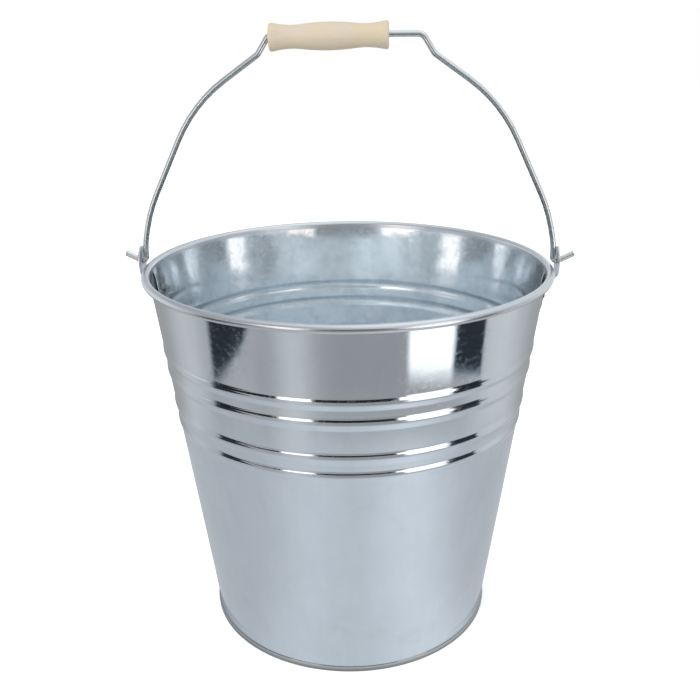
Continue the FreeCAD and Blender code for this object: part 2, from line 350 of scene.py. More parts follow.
def hem_strip(side):
    """The rear sheet's folded edge: a strip of two layers with a round fold towards the front."""
    path = rounded_path([(*wall_point(HEM_BASE), 0)] + rib_corners() + [(*wall_point(HEM_TOP), 0)])
    near, far, outer, inner = HEM_NEAR_Y, HEM_FAR_Y, SHEET / 2, SHEET / 2 + 2 * SHEET
    fold = (inner - outer) / 2
    outline = [(far, outer), ((near + far) / 2, outer)]
    for k in range(FOLD_STEPS + 1):
        angle = -math.pi / 2 - math.pi * k / FOLD_STEPS
        outline.append((near + fold + fold * math.cos(angle), outer + fold + fold * math.sin(angle)))
    outline += [((near + far) / 2, inner), (far, inner)]
    verts = []
    for point, normal in path:
        shown = min(1.0, max(HEM_LEAST, (HEM_TOP - point.y) / HEM_FADE))
        for y, depth in outline:
            inward = point + normal * (outer + (depth - outer) * shown)
            azimuth = math.asin(y / inward.x)
            radius = inward.x + dent(azimuth if side > 0 else math.pi - azimuth, point.y)
            verts.append((side * math.sqrt(radius**2 - y**2), y, inward.y))
    faces = grid_faces(len(path), len(outline), closed_columns=True)
    last = (len(path) - 1) * len(outline)
    faces += [tuple(range(len(outline))), tuple(range(last, last + len(outline)))]
    return mesh_object(f"hem_{side}", verts, faces)


def join_pieces(pieces):
    """Joins mesh objects into the first one."""
    bm = bmesh.new()
    for piece in pieces:
        bm.from_mesh(piece.data)
    bm.to_mesh(pieces[0].data)
    bm.free()
    for piece in pieces[1:]:
        bpy.data.objects.remove(piece)
    smooth(pieces[0].data)
    return pieces[0]


def lathe(name, outline, sides, closed=True):
    """Outline of (radius, height) points turned round Z; points on the axis become poles."""
    verts, rings = [], []
    for radius, height in outline:
        count = 1 if radius < 1e-6 else sides
        rings.append((len(verts), count))
        for j in range(count):
            azimuth = 2 * math.pi * j / sides
            verts.append((radius * math.cos(azimuth), radius * math.sin(azimuth), height))
    faces = []
    pairs = list(zip(rings, rings[1:] + ([rings[0]] if closed else [])))
    for (a, count_a), (b, count_b) in pairs:
        for j in range(sides):
            k = (j + 1) % sides
            ring_a = (a,) if count_a == 1 else (a + j, a + k)
            ring_b = (b,) if count_b == 1 else (b + k, b + j)
            if len(ring_a) + len(ring_b) > 2:
                faces.append(ring_a + ring_b)
    return mesh_object(name, verts, faces)


def bottom_pan():
    """Recessed bottom whose edge is folded down, under and up round the wall's lower edge."""
    pitch = SHEET + FIT_GAP
    wall = BAND_CORNER_POINT[0]
    disc = PAN_HIGH.z - SHEET / 2
    swell, swell_height, swell_rounding = FOOT_SWELL
    corners = (
        (0, disc, 0),
        (wall - pitch, disc, BOTTOM_CORNER),
        (wall - pitch, SHEET / 2, FOOT_CORNER),
        (wall + pitch, SHEET / 2, FOOT_CORNER),
        (wall + pitch + swell, swell_height, swell_rounding),
        (wall + pitch, FOOT_HEIGHT, 0),
    )
    loop = [tuple(point) for point, _ in sheet_loop(rounded_path(corners, 15.0, 12.0))]
    return lathe("bottom_pan_shell", loop, 2 * HALF_TURN_STEPS, closed=False)


# ---------------------------------------------------------------- ears and rivets

def ear_path():
    """Middle line of an ear from the foot of its pad to the top of its eye."""
    stand = SHEET / 2 + EAR_THICKNESS / 2
    corners = (
        (*wall_point(PAD_BASE - 2, stand), 0),
        (*wall_point(EAR_JOG_BASE, stand), EAR_BEND),
        (EAR_RADIUS, EAR_JOG_TOP, EAR_BEND),
        (EAR_RADIUS, EAR_TOP + 2, 0),
    )
    return rounded_path(corners, 6.0, 2.0)


def on_path(path, height):
    """Point and normal of a rising path at a height."""
    for (a, normal_a), (b, normal_b) in zip(path, path[1:]):
        if a.y <= height <= b.y:
            t = (height - a.y) / (b.y - a.y)
            return a.lerp(b, t), normal_a.lerp(normal_b, t).normalized()
    raise ValueError(f"height {height} is off the path")


def ear_half_width(height):
    """Half width of the ear's pad, shoulder and neck at a height below the eye."""
    w, r = PAD_HALF_WIDTH, PAD_CORNER
    shoulder = (NECK_HALF_WIDTH + w) / 2
    if height < PAD_BASE + r:
        return w - r + math.sqrt(max(0.0, r**2 - (PAD_BASE + r - height) ** 2))
    if height < PAD_TOP - r:
        return w
    if height < PAD_TOP:
        t = (height - PAD_TOP + r) / r
        return w - (w - shoulder) * (1 - math.sqrt(1 - t * t)) ** 0.9
    t = min(1.0, (height - PAD_TOP) / (EAR_JOG_TOP - PAD_TOP))
    return shoulder + (NECK_HALF_WIDTH - shoulder) * t


def ear_outline_distance(angle):
    """Distance from the pivot to the edge of the ear's eye, in a direction from the +Y side."""
    c, s = math.cos(angle), math.sin(angle)
    eye_z = EAR_TOP - EYE_RADIUS
    lift = eye_z - PIVOT_HEIGHT
    reach = lift * s + math.sqrt(max(0.0, EYE_RADIUS**2 - (lift * c) ** 2))
    spread = math.asin((EYE_RADIUS - NECK_HALF_WIDTH) / (eye_z - EAR_JOG_TOP))
    neck = EYE_RADIUS * math.cos(spread), eye_z - EYE_RADIUS * math.sin(spread)
    if PIVOT_HEIGHT + reach * s < neck[1]:
        slope = (neck[0] - NECK_HALF_WIDTH) / (neck[1] - EAR_JOG_TOP)
        level = NECK_HALF_WIDTH + slope * (PIVOT_HEIGHT - EAR_JOG_TOP)
        reach = level / (abs(c) - slope * s)
    if s < 0:
        reach = min(reach, (EYE_BASE - PIVOT_HEIGHT) / s)
    return reach


def stamped_ear(name, side):
    """Ear with a quad mesh: rings round the eye's hole, then rows down the neck and over the pad."""
    path = ear_path()
    row_steps, round_steps, rings = 12, 40, 6
    foot = [(-1 + 2 * k / row_steps) * (NECK_HALF_WIDTH + NECK_SPREAD) for k in range(row_steps + 1)]
    angles = [math.atan2(EYE_BASE - PIVOT_HEIGHT, y) for y in foot]
    span = 2 * math.pi - (angles[-1] - angles[0])
    angles += [angles[-1] + span * k / round_steps for k in range(1, round_steps)]
    flat = []
    for ring in range(rings + 1):
        t = (ring / rings) ** 0.9
        for angle in angles:
            reach = ear_outline_distance(angle)
            distance = PIVOT_HOLE_RADIUS + (reach - PIVOT_HOLE_RADIUS) * t
            flat.append((distance * math.cos(angle), PIVOT_HEIGHT + distance * math.sin(angle)))
    count = len(angles)
    faces = grid_faces(rings + 1, count, closed_columns=True)
    above = [rings * count + k for k in range(row_steps + 1)]
    levels = [PAD_BASE + PAD_CORNER * (1 - math.cos(math.radians(a))) for a in range(0, 91, 15)]
    levels += [PAD_BASE + PAD_CORNER + (PAD_TOP - PAD_BASE - 2 * PAD_CORNER) * k / 4 for k in range(1, 5)]
    levels += [PAD_TOP - PAD_CORNER * (1 - math.sin(math.radians(a))) for a in range(18, 91, 18)]
    levels += [PAD_TOP + (EAR_JOG_TOP - PAD_TOP) * k / 6 for k in range(1, 7)]
    for height in reversed(levels):
        half = ear_half_width(height)
        row = [len(flat) + k for k in range(row_steps + 1)]
        flat += [((-1 + 2 * k / row_steps) * half, height) for k in range(row_steps + 1)]
        faces += [(above[k], above[k + 1], row[k + 1], row[k]) for k in range(row_steps)]
        above = row
    verts = []
    for layer in (1, -1):
        for y, height in flat:
            point, normal = on_path(path, height)
            spot = point - normal * layer * EAR_THICKNESS / 2
            verts.append((side * math.sqrt(spot.x**2 - y**2), y, spot.y))
    total = len(flat)
    edges = {}
    for face in faces:
        for a, b in zip(face, face[1:] + face[:1]):
            edges[(a, b)] = edges.get((a, b), 0) + 1
    rim = [(a, b) for a, b in edges if (b, a) not in edges]
    solid = faces + [tuple(v + total for v in reversed(face)) for face in faces]
    solid += [(b, a, a + total, b + total) for a, b in rim]
    ear = mesh_object(name, verts, solid)
    bevel_edges(ear, EAR_EDGE_ROUNDING, 2)
    return ear


def bevel_edges(obj, width, segments):
    """Rounds the sharp edges of an object's mesh."""
    bm = bmesh.new()
    bm.from_mesh(obj.data)
    bmesh.ops.recalc_face_normals(bm, faces=bm.faces)
    limit = math.radians(BEVEL_ANGLE)
    sharp = [edge for edge in bm.edges if edge.is_manifold and edge.calc_face_angle() > limit]
    bmesh.ops.bevel(bm, geom=sharp, offset=width * MM, segments=segments, profile=0.6, affect="EDGES")
    bm.to_mesh(obj.data)
    bm.free()
    smooth(obj.data, BEVEL_ANGLE + 10)


def head_outline(base, direction, height):
    """Domed rivet head from its rim to its pole: a slice of a sphere with an eased rim."""
    ball = (HEAD_RADIUS**2 + height**2) / (2 * height)
    widest = math.asin(HEAD_RADIUS / ball)
    points = [(HEAD_RADIUS, base), (HEAD_RADIUS, base + direction * HEAD_EDGE)]
    for k in range(1, 9):
        angle = widest * (1 - k / 8)
        points.append((ball * math.sin(angle), base + direction * (ball * math.cos(angle) - ball + height)))
    return points


def rivet(name, side, y):
    """One rivet: an outer dome, a shank through the ear and the sheets, and a flatter inner dome."""
    radius, height = wall_point(RIVET_HEIGHT)
    azimuth = math.asin(y / radius)
    east, north = side * math.cos(azimuth), math.sin(azimuth)
    out = Vector((OUTWARD.x * east, OUTWARD.x * north, OUTWARD.y))
    inner_layers = 2 * SHEET if y < 0 else 0.0
    inside = -(SHEET / 2 + inner_layers + HOLE_GAP)
    outside = SHEET / 2 + EAR_THICKNESS
    outline = list(reversed(head_outline(inside, -1, INNER_HEAD_HEIGHT)))
    outline += [(SHANK_RADIUS, inside), (SHANK_RADIUS, outside)]
    outline += head_outline(outside, 1, OUTER_HEAD_HEIGHT)
    piece = lathe(name, outline, RIVET_SIDES, closed=False)
    move = Matrix.Translation(Vector((radius * east, radius * north, height)) * MM)
    piece.data.transform(move @ out.to_track_quat("Z", "Y").to_matrix().to_4x4())
    return piece


# ---------------------------------------------------------------- bail and grip

def bail_tube():
    """The bent wire: a tube along the bail's path with eased, cut ends."""
    right = [*BAIL_CORNERS, (*BAIL_TIP, 0)]
    left = [(-x, z, r) for x, z, r in reversed(right)]
    path = rounded_path(left + right, 5.0, 9.0)
    ends = []
    for (point, normal), heading in ((path[0], -1), (path[-1], 1)):
        along = Vector((normal.y, -normal.x)) * heading
        ends.append([(point + along * (TIP_ROUNDING * (math.sin(a) - 1)),
                      normal, BAIL_WIRE_RADIUS - TIP_ROUNDING * (1 - math.cos(a)))
                     for a in (math.radians(t) for t in (0, 30, 60, 90))])
    rings = list(reversed(ends[0])) + [(p, n, BAIL_WIRE_RADIUS) for p, n in path[1:-1]] + ends[1]
    verts = []
    for point, normal, radius in rings:
        for k in range(TUBE_SIDES):
            angle = 2 * math.pi * k / TUBE_SIDES
            spot = point + normal * radius * math.cos(angle)
            verts.append((spot.x, radius * math.sin(angle), spot.y))
    faces = grid_faces(len(rings), TUBE_SIDES, closed_columns=True)
    for first in (0, (len(rings) - 1) * TUBE_SIDES):
        middle = len(verts)
        end_ring = [Vector(v) for v in verts[first:first + TUBE_SIDES]]
        verts.append(tuple(sum(end_ring, Vector()) / TUBE_SIDES))
        faces += [(first + k, first + (k + 1) % TUBE_SIDES, middle) for k in range(TUBE_SIDES)]
    return mesh_object("bail_wire_rod", verts, faces)


def smooth_curve(knots, steps):
    """Cubic through (x, y) knots with a flat start, sampled evenly in x."""
    count = len(knots)
    xs, ys = [k[0] for k in knots], [k[1] for k in knots]
    slopes = [0.0] * count
    for i in range(1, count - 1):
        slopes[i] = (ys[i + 1] - ys[i - 1]) / (xs[i + 1] - xs[i - 1])
    slopes[-1] = (ys[-1] - ys[-2]) / (xs[-1] - xs[-2]) * 0.8
    points = []
    for i in range(count - 1):
        width = xs[i + 1] - xs[i]
        pieces = max(1, round(steps * width / xs[-1]))
        for k in range(pieces):
            t = k / pieces
            h00, h10 = (1 + 2 * t) * (1 - t) ** 2, t * (1 - t) ** 2
            h01, h11 = t * t * (3 - 2 * t), t * t * (t - 1)
            here = h00 * ys[i] + h10 * width * slopes[i]
            ahead = h01 * ys[i + 1] + h11 * width * slopes[i + 1]
            points.append((xs[i] + t * width, here + ahead))
    return points + [knots[-1]]


def turned_grip():
    """Turned wooden grip with flared ends, two waists, a full belly and a loose bore."""
    half = GRIP_OUTLINE[-1][0]
    end_radius, r = GRIP_OUTLINE[-1][1], GRIP_ROUNDING
    right = [point for point in smooth_curve(GRIP_OUTLINE, 34) if point[0] < half - r]
    edge = [(half - r + r * math.sin(a), end_radius - r + r * math.cos(a) - GRIP_END_INSET)
            for a in (math.radians(15 * k) for k in range(7))]
    bore = [(half - BORE_ROUNDING * (1 - math.sin(a)), BORE_RADIUS + BORE_ROUNDING * (1 - math.cos(a)))
            for a in (math.radians(30 * k) for k in range(3, -1, -1))]
    side = right + edge + bore
    outline = [(radius, x) for x, radius in side] + [(radius, -x) for x, radius in reversed(side[1:])]
    grip = lathe("wooden_grip_turned", outline, GRIP_SIDES)
    move = Matrix.Translation(GRIP_CENTRE * MM)
    grip.data.transform(move @ GRIP_AXIS.to_track_quat("Z", "Y").to_matrix().to_4x4())
    return grip


# ---------------------------------------------------------------- materials

SHEET_BRIGHT, SHEET_DULL = (0.735, 0.800, 0.850), (0.70, 0.765, 0.815)
INSIDE_PAINTED_LIGHT = (0.84, 0.885, 0.915)   # painted light: the inside face is lighter than the outside so that the inside of the bucket looks brighter
INSIDE_HAZE = (225.0, 245.0, 0.06, 0.0)      # two heights, and how much rougher the inside is at each
INSIDE_METALLIC = 0.93
INSIDE_WAVES = 1.5                   # how much stronger the waves are inside
RIM_START = 274.0
RIM_TINT = (0.62, 0.635, 0.66)       # the rolled rim is rubbed duller
RIM_ROUGHNESS = 0.24
FOOT_PAINTED_SHADE = (0.47, 0.475, 0.465)     # painted shade: the clinched foot is darkened to stand in for the shaded floor that it reflects
FOOT_ROUGHNESS = 0.05
FOLD_PAINTED_SHADE = (0.10, 0.115, 0.13)     # painted shade along a folded or cut edge, where the gap beside it lies in shade
FOLD_EDGE = (HEM_NEAR_Y - 0.6, HEM_NEAR_Y + 0.8)
RIGHT_EAR_X = (0.10, 0.12)           # metres; the painted shade shows at the right ear only
BEECH_GREY, BEECH_WARM = (0.55, 0.48, 0.405), (0.565, 0.482, 0.347)
BEECH_GRAIN, BEECH_PORE = (0.52, 0.43, 0.31), (0.40, 0.30, 0.20)


class Graph:
    """Short way to write a material's node tree."""

    def __init__(self, name, surface="ShaderNodeBsdfPrincipled"):
        self.material = bpy.data.materials.new(name)
        self.material.use_nodes = True
        self.nodes = self.material.node_tree.nodes
        self.links = self.material.node_tree.links
        self.nodes.clear()
        self.output = self.add("ShaderNodeOutputMaterial")
        self.surface = self.add(surface)
        self.links.new(self.surface.outputs[0], self.output.inputs["Surface"])
        self.place = self.add("ShaderNodeTexCoord").outputs["Object"]

    def add(self, kind, **settings):
        node = self.nodes.new(kind)
        for key, value in settings.items():
            setattr(node, key, value)
        return node

    def link(self, source, target):
        self.links.new(source, target)

    def stretched(self, scale):
        """Object coordinates scaled by (x, y, z)."""
        mapping = self.add("ShaderNodeMapping")
        mapping.inputs["Scale"].default_value = scale
        self.link(self.place, mapping.inputs["Vector"])
        return mapping.outputs["Vector"]

    def noise(self, scale, detail=3.0, roughness=0.5, distortion=0.0, vector=None):
        node = self.add("ShaderNodeTexNoise")
        node.inputs["Scale"].default_value = scale
        node.inputs["Detail"].default_value = detail
        node.inputs["Roughness"].default_value = roughness
        node.inputs["Distortion"].default_value = distortion
        self.link(vector or self.place, node.inputs["Vector"])
        return node.outputs["Fac"]

    def ramp(self, source, low, high, start, end):
        """Value from start to end while the source goes from low to high."""
        node = self.add("ShaderNodeMapRange", interpolation_type="SMOOTHSTEP")
        for socket, value in zip(("From Min", "From Max", "To Min", "To Max"), (low, high, start, end)):
            node.inputs[socket].default_value = value
        self.link(source, node.inputs["Value"])
        return node.outputs["Result"]

    def math(self, operation, a, b=0.0):
        node = self.add("ShaderNodeMath", operation=operation)
        for socket, value in zip(node.inputs, (a, b)):
            if isinstance(value, (int, float)):
                socket.default_value = value
            else:
                self.link(value, socket)
        return node.outputs[0]

    def plus(self, a, b):
        return self.math("ADD", a, b)

    def times(self, a, b):
        return self.math("MULTIPLY", a, b)

    def cover(self, level, value, mask):
        """Level, replaced by a value where the mask is one."""
        return self.plus(self.times(level, self.math("SUBTRACT", 1.0, mask)), self.times(mask, value))

    def window(self, source, low, high, soft):
        """One between low and high, fading out over soft on both sides."""
        rise = self.ramp(source, low - soft, low + soft, 0.0, 1.0)
        return self.times(rise, self.ramp(source, high - soft, high + soft, 1.0, 0.0))

    def hump(self, source, centre, width, height):
        """Bell curve of a height round a centre."""
        away = self.math("DIVIDE", self.math("SUBTRACT", source, centre), width)
        return self.times(self.math("EXPONENT", self.times(self.times(away, away), -1.0)), height)

    def humps(self, source, level, bells):
        """Level with bell curves of (centre, width, height) on it."""
        for bell in bells:
            level = self.plus(level, self.hump(source, *bell))
        return level

    def split(self, vector):
        node = self.add("ShaderNodeSeparateXYZ")
        self.link(vector, node.inputs["Vector"])
        return tuple(node.outputs)

    def height(self):
        """Height above the bucket's foot in millimetres."""
        return self.times(self.split(self.place)[2], 1 / MM)

    def across(self):
        """Distance behind the plane of the bail in millimetres."""
        return self.times(self.split(self.place)[1], 1 / MM)

    def facing_front(self):
        """One on faces that look to the front, nought on faces that look sideways."""
        _, ny, _ = self.split(self.add("ShaderNodeNewGeometry").outputs["True Normal"])
        return self.ramp(ny, -0.85, -0.4, 1.0, 0.0)

    def facing_axis(self):
        """One on faces that look at the bucket's axis, nought on faces that look away."""
        x, y, _ = self.split(self.place)
        nx, ny, _ = self.split(self.add("ShaderNodeNewGeometry").outputs["True Normal"])
        outward = self.plus(self.times(x, nx), self.times(y, ny))
        return self.ramp(outward, -0.03, 0.03, 1.0, 0.0)

    def directions(self):
        """Azimuth from the camera's side, positive to the right, elevation (degrees), radius and x (mm)."""
        x, y, z = self.split(self.place)
        radius = self.math("SQRT", self.plus(self.times(x, x), self.times(y, y)))
        azimuth = self.times(self.math("ARCTAN2", x, self.times(y, -1.0)), 180 / math.pi)
        elevation = self.times(self.math("ARCTAN2", z, radius), 180 / math.pi)
        return azimuth, elevation, self.times(radius, 1 / MM), self.times(x, 1 / MM)

    def mix(self, factor, a, b):
        """Colour mix; a and b are colours or sockets."""
        node = self.add("ShaderNodeMix", data_type="RGBA")
        self.link(factor, node.inputs["Factor"])
        for key, value in (("A", a), ("B", b)):
            socket = next(s for s in node.inputs if s.name == key and s.type == "RGBA")
            if isinstance(value, tuple):
                socket.default_value = (*value, 1.0)
            else:
                self.link(value, socket)
        return next(s for s in node.outputs if s.type == "RGBA")

    def bump(self, height, distance, normal=None):
        node = self.add("ShaderNodeBump")
        node.inputs["Distance"].default_value = distance * MM
        self.link(height, node.inputs["Height"])
        if normal:
            self.link(normal, node.inputs["Normal"])
        return node.outputs["Normal"]

    def set(self, socket, value):
        target = self.surface.inputs[socket]
        if isinstance(value, tuple):
            target.default_value = (*value, 1.0)
        elif isinstance(value, (int, float)):
            target.default_value = value
        else:
            self.link(value, target)


def darker(colour, share):
    """Colour with a share of its brightness."""
    return tuple(share * channel for channel in colour)


def zinc(name, bright, dull, roughness, haze, ripple, finish):
    """Galvanised steel: near mirror with cloudy patches, faint drawn streaks and frosty grains.

    The finish is a function that adds what only some pieces have.
    """
    graph = Graph(name)
    clouds = graph.noise(38.0, 4.0, 0.55, 0.4)
    smudges = graph.ramp(graph.noise(24.0, 3.0, 0.5, 1.2), 0.58, 0.76, 0.0, 1.0)
    streaks = graph.noise(120.0, 3.0, 0.6, vector=graph.stretched((1.0, 1.0, 0.05)))
    frost = graph.ramp(graph.noise(330.0, 4.0, 0.65), 0.48, 0.66, 0.0, 1.6 * haze)
    colour = graph.mix(graph.ramp(clouds, 0.3, 0.7, 0.0, 1.0), bright, dull)
    colour = graph.mix(graph.ramp(streaks, 0.35, 0.7, 0.0, 0.3), colour, darker(dull, 0.95))
    colour = graph.mix(graph.times(smudges, 0.25), colour, darker(dull, 0.86))
    rough = graph.plus(graph.ramp(clouds, 0.35, 0.7, roughness, roughness + haze), frost)
    rough = graph.plus(rough, graph.times(smudges, 0.04))
    waves = graph.noise(60.0, 1.0, 0.4)
    colour, rough, waves = finish(graph, colour, rough, waves)
    graph.set("Base Color", colour)
    graph.set("Roughness", rough)
    graph.set("Normal", graph.bump(graph.noise(240.0, 2.0, 0.5), 0.12 * ripple, graph.bump(waves, ripple)))
    return graph.material


def formed_sheet(graph, colour, rough, waves):
    """Wall and bottom: a mottled inside lightened with painted light, painted shade along the folded edges,
    a dull rim, and a foot darkened with painted shade.
    """
    inside, height = graph.facing_axis(), graph.height()
    # painted light: the inside face is lightened
    colour = graph.mix(graph.times(inside, 0.75), colour, INSIDE_PAINTED_LIGHT)
    rough = graph.plus(rough, graph.times(inside, graph.ramp(height, *INSIDE_HAZE)))
    mottle = graph.ramp(graph.noise(70.0, 4.0, 0.6), 0.42, 0.7, 0.0, 0.5)
    colour = graph.mix(graph.times(inside, mottle), colour, darker(SHEET_BRIGHT, 0.86))
    graph.set("Metallic", graph.ramp(inside, 0.0, 1.0, 1.0, INSIDE_METALLIC))
    # painted shade on the front face of the folded edge
    fold = graph.times(graph.window(graph.across(), *FOLD_EDGE, 0.15), graph.facing_front())
    colour = graph.mix(fold, colour, FOLD_PAINTED_SHADE)
    rim = graph.ramp(height, RIM_START, RIM_START + 2, 0.0, 1.0)
    colour = graph.mix(graph.times(rim, 0.85), colour, RIM_TINT)
    rough = graph.cover(rough, RIM_ROUGHNESS, rim)
    # painted shade: the foot is darkened in colour
    foot = graph.ramp(height, FOOT_HEIGHT + 0.1, FOOT_HEIGHT + 0.4, 1.0, 0.0)
    colour = graph.mix(graph.times(foot, 0.8), colour, FOOT_PAINTED_SHADE)
    rough = graph.cover(rough, FOOT_ROUGHNESS, foot)
    return colour, rough, graph.times(waves, graph.plus(1.0, graph.times(inside, INSIDE_WAVES)))


def small_metal(graph, colour, rough, waves):
    """Wire, ears and rivets: plain but for painted shade on the front edge of the right ear's pad."""
    # painted shade on the front-facing edge of the right ear's pad
    to_right = graph.ramp(graph.split(graph.place)[0], *RIGHT_EAR_X, 0.0, 1.0)
    on_pad = graph.ramp(graph.height(), EAR_JOG_BASE + 2, EAR_JOG_TOP, 1.0, 0.0)
    shade = graph.times(graph.times(graph.facing_front(), to_right), on_pad)
    graph.set("Metallic", 1.0)
    return graph.mix(shade, colour, FOLD_PAINTED_SHADE), rough, waves


def beech(name):
    """Pale turned beech: long grain, warm and greyish patches, short dark flecks and a dull sheen."""
    graph = Graph(name)
    along = graph.stretched((0.06, 1.0, 1.0))
    grain = graph.noise(260.0, 5.0, 0.6, 0.3, along)
    patches = graph.noise(45.0, 3.0, 0.5, 0.6, graph.stretched((0.5, 1.0, 1.0)))
    pores = graph.noise(1400.0, 2.0, 0.5, 0.0, graph.stretched((0.12, 1.0, 1.0)))
    colour = graph.mix(graph.ramp(patches, 0.36, 0.62, 0.0, 1.0), BEECH_GREY, BEECH_WARM)
    colour = graph.mix(graph.ramp(grain, 0.4, 0.75, 0.0, 0.5), colour, BEECH_GRAIN)
    colour = graph.mix(graph.ramp(pores, 0.60, 0.72, 0.0, 0.22), colour, BEECH_PORE)
    graph.set("Base Color", colour)
    graph.set("Roughness", graph.ramp(grain, 0.3, 0.8, 0.42, 0.58))
    graph.set("Specular IOR Level", 0.35)
    graph.set("Normal", graph.bump(grain, 0.02))
    return graph.material


# ---------------------------------------------------------------- studio

CAMERA_TURN = math.radians(2.5)      # the bucket stands turned a little to the camera
CAMERA_DISTANCE = 640.4
CAMERA_HEIGHT = 444.2
CAMERA_PITCH = math.radians(19.9)
CAMERA_ROLL = -0.0097
CAMERA_YAW = -0.001
LENS = 45.67
SHIFT = (0.0033, -0.0032)

FLOOR_HALF_WIDTH = 6000.0
FLOOR_HEIGHT = -0.05                 # a hair under the foot
FLOOR_GLOW = 0.35
KEY_POWER, KEY_SIZE = 12.0, 1.2      # watts and metres
KEY_PLACE, KEY_AIM = Vector((-0.7, -0.9, 1.7)), Vector((0, 0, 0.25))

# what the metal reflects: azimuths are degrees from the camera's side, levels are relative to the white
# world, bells of (azimuth, width, height) brighten a level, and pairs are where a soft edge starts and ends
TABLE_RADIUS = 930.0
TABLE_NEAR = (0.54, ((-22.0, 22.0, 0.15), (34.0, 28.0, 0.26)))
TABLE_FAR = (0.36, ((-28.0, 11.0, 0.27), (-60.0, 15.0, 0.12), (92.0, 28.0, 0.33), (-100.0, 20.0, 0.26)))
TABLE_TURN = (290.0, 450.0)          # radii between which near gives way to far
FOOT_SHADE = (111.0, 116.0, 0.60, 1.0)       # radii and shares of the light close to the foot
CLOTH_LEVEL = 0.032
CLOTH_LEFT_AZIMUTH, CLOTH_LEFT_X, CLOTH_LEFT_Y = (-81.0, -77.0), (-474.0, -450.0), (-392.0, -355.0)
CLOTH_RIGHT_AZIMUTHS, CLOTH_RIGHT_RADIUS = (57.0, 77.0), (464.0, 500.0)
TABLE_LAMP_LEVEL = 1.6
TABLE_LAMP_AZIMUTHS, TABLE_LAMP_RADIUS = (31.0, 56.0), (441.0, 512.0)

DOME_RADIUS = 3000.0
DOME_HEIGHT = 200.0
TENT_LOW = (0.68, ((-120.0, 24.0, 0.28), (127.0, 15.0, 0.25), (160.0, 12.0, 0.40)))
TENT_HIGH = (0.52, 0.92)             # left and right
TENT_TURN = (8.0, 34.0)              # elevations between which low gives way to high
TENT_TOP = (45.0, 65.0, 1.0, 1.5)    # elevations and how much brighter it is there
WIDE_LEVEL = (-80.0, -50.0, 0.38, 0.55)      # azimuths and levels
WIDE_PANEL = ((-85.0, 85.0, 6.0), (6.0, 23.0, 2.0))      # azimuths and elevations, each with its softness
FRONT_LEVEL = 0.26
FRONT_PANEL = ((-18.0, 24.0, 5.0), (-20.0, 15.0, 5.0))
DARK_LEVEL = 0.02
DARK_SIDES = 85.0
HORIZON = (-25.0, -5.0)              # elevations of the dark strip behind the edge of the table
LAMP_SOFTNESS = 1.5
FRONT_LAMPS = (                      # softboxes: azimuths, elevations and strength
    (-40.0, -21.0, HORIZON[0], -3.0, 1.9),
    (-47.0, -23.0, 0.0, 20.0, 1.65),
    (28.0, 62.0, HORIZON[0], -3.0, 2.2),
    (22.0, 40.0, 0.0, 6.0, 1.2),
    (34.0, 59.0, 6.0, 20.0, 1.7),
    (14.0, 27.0, 24.0, 31.0, 1.5),
)


def add_camera():
    yaw, pitch = CAMERA_YAW, CAMERA_PITCH
    forward = Vector((math.sin(yaw) * math.cos(pitch), math.cos(yaw) * math.cos(pitch), -math.sin(pitch)))
    level = Vector((math.cos(yaw), -math.sin(yaw), 0))
    up = level.cross(forward)
    right = level * math.cos(CAMERA_ROLL) + up * math.sin(CAMERA_ROLL)
    top = up * math.cos(CAMERA_ROLL) - level * math.sin(CAMERA_ROLL)
    turned = Matrix((right, top, -forward)).transposed().to_4x4()
    data = bpy.data.cameras.new("camera")
    data.lens = LENS
    data.sensor_width = 36.0
    data.shift_x, data.shift_y = SHIFT
    data.clip_start, data.clip_end = 0.01, 50.0
    camera = bpy.data.objects.new("camera", data)
    spin = Matrix.Rotation(CAMERA_TURN, 4, "Z")
    away = Matrix.Translation(Vector((0, -CAMERA_DISTANCE, CAMERA_HEIGHT)) * MM)
    camera.matrix_world = spin @ away @ turned
    bpy.context.scene.collection.objects.link(camera)
    bpy.context.scene.camera = camera


def studio_floor():
    """White floor that stays white to the horizon and takes only a faint shadow."""
    graph = Graph("floor_white")
    graph.set("Base Color", (0.90, 0.90, 0.90))
    graph.set("Roughness", 0.9)
    graph.set("Emission Color", (1.0, 1.0, 1.0))
    graph.set("Emission Strength", FLOOR_GLOW)
    return graph.material


def glow(name):
    """Light that is only found by reflections."""
    graph = Graph(name, "ShaderNodeEmission")
    graph.material.cycles.emission_sampling = "NONE"
    return graph


def table_pattern():
    """Reflected table: dull in front, brighter to both sides, with two dark cloths and a lamp."""
    graph = glow("table_light")
    azimuth, _, radius, x = graph.directions()
    distance = graph.ramp(radius, *TABLE_TURN, 0.0, 1.0)
    level = graph.cover(graph.humps(azimuth, *TABLE_NEAR), graph.humps(azimuth, *TABLE_FAR), distance)
    level = graph.times(level, graph.ramp(radius, *FOOT_SHADE))
    cloth_left = graph.ramp(azimuth, *CLOTH_LEFT_AZIMUTH, 0.0, 1.0)
    cloth_left = graph.times(cloth_left, graph.ramp(x, *CLOTH_LEFT_X, 1.0, 0.0))
    cloth_left = graph.times(cloth_left, graph.ramp(graph.across(), *CLOTH_LEFT_Y, 0.0, 1.0))
    cloth_right = graph.window(azimuth, *CLOTH_RIGHT_AZIMUTHS, 1.2)
    cloth_right = graph.times(cloth_right, graph.ramp(radius, *CLOTH_RIGHT_RADIUS, 0.0, 1.0))
    cloth = graph.math("MAXIMUM", cloth_left, cloth_right)
    lamp = graph.window(azimuth, *TABLE_LAMP_AZIMUTHS, 2.2)
    lamp = graph.times(lamp, graph.ramp(radius, *TABLE_LAMP_RADIUS, 0.0, 1.0))
    level = graph.cover(level, CLOTH_LEVEL, cloth)
    graph.set("Strength", graph.cover(level, TABLE_LAMP_LEVEL, lamp))
    colour = graph.mix(distance, (0.97, 1.0, 1.05), (1.0, 1.0, 1.01))
    graph.set("Color", graph.mix(cloth, colour, (0.8, 1.0, 1.25)))
    return graph.material


